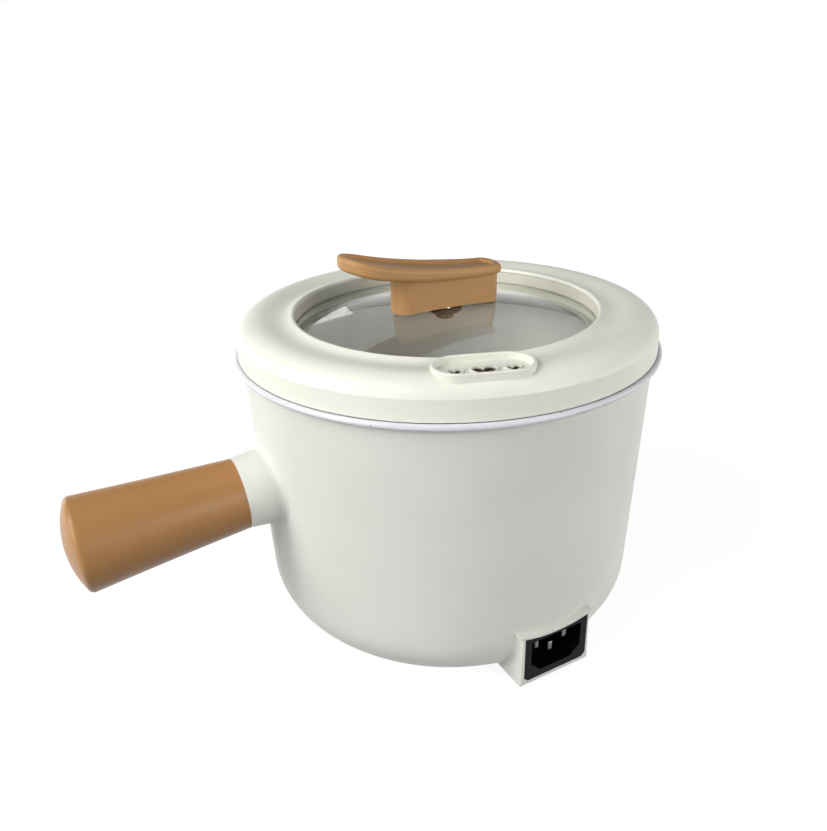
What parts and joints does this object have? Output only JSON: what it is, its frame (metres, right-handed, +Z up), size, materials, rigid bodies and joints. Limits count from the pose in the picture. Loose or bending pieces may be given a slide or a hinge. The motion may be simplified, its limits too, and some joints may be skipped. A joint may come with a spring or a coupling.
{
  "type": "electric hot pot",
  "caption": "Electric hot pot: a metal cooking pot in a tapered plastic shell, with a straight side handle, a low mains inlet and a loose glass lid with a steam vent.",
  "frame": {"origin": "on the pot's axis, at the level that the foot ring stands on", "axes": "+Z up, side handle along -X, mains inlet facing -Y"},
  "size_m": [0.2547, 0.18, 0.1638],
  "materials": {
    "shell_plastic": "satin",
    "lid_plastic": "satin",
    "pot_metal": "satin",
    "brown_plastic": "satin",
    "handle_brown": "satin",
    "lid_glass": "clear",
    "black_plastic": "gloss",
    "pin_steel": "polished",
    "steel": "satin",
    "zinc_steel": "satin",
    "brass": "satin",
    "aluminium": "satin",
    "silicone": "matt",
    "dark_rubber": "matt",
    "base_plastic": "satin",
    "ceramic": "matt",
    "sleeve": "matt",
    "live_wire": "matt",
    "neutral_wire": "matt",
    "earth_wire": "matt",
    "heat_wire": "matt"
  },
  "bodies": {
    "base": {"outer_shell": "shell_plastic", "inner_pot": "pot_metal", "rim_seal": "silicone", "heater_plate": "aluminium", "heater_element": "steel", "thermostat": "ceramic", "thermostat_screws": "zinc_steel", "thermal_fuse": "sleeve", "live_lead": "live_wire", "fuse_lead": "heat_wire", "link_lead": "heat_wire", "neutral_lead": "neutral_wire", "earth_lead": "earth_wire", "earth_lug": "zinc_steel", "clamp_bracket": "zinc_steel", "bracket_nuts": "zinc_steel", "base_cover": "base_plastic", "cover_screws": "zinc_steel", "foot_ring": "dark_rubber", "inlet_body": "black_plastic", "live_pin": "pin_steel", "neutral_pin": "pin_steel", "earth_pin": "pin_steel", "handle_collar": "shell_plastic", "handle_grip": "brown_plastic", "handle_insert": "brass", "handle_washer": "zinc_steel", "handle_bolt": "zinc_steel"},
    "lid": {"lid_ring": "lid_plastic", "lid_liner": "lid_plastic", "lid_glass": "lid_glass", "glass_seal": "silicone", "lid_handle": "handle_brown", "stem_pad": "silicone", "washer_seal": "silicone", "cup_washer": "steel", "lid_screw": "steel"}
  },
  "joints": [
    {"name": "lid_lift", "type": "slide", "parent": "base", "child": "lid", "axis": [0, 0, 1], "range_m": [0, 0.15]}
  ]
}
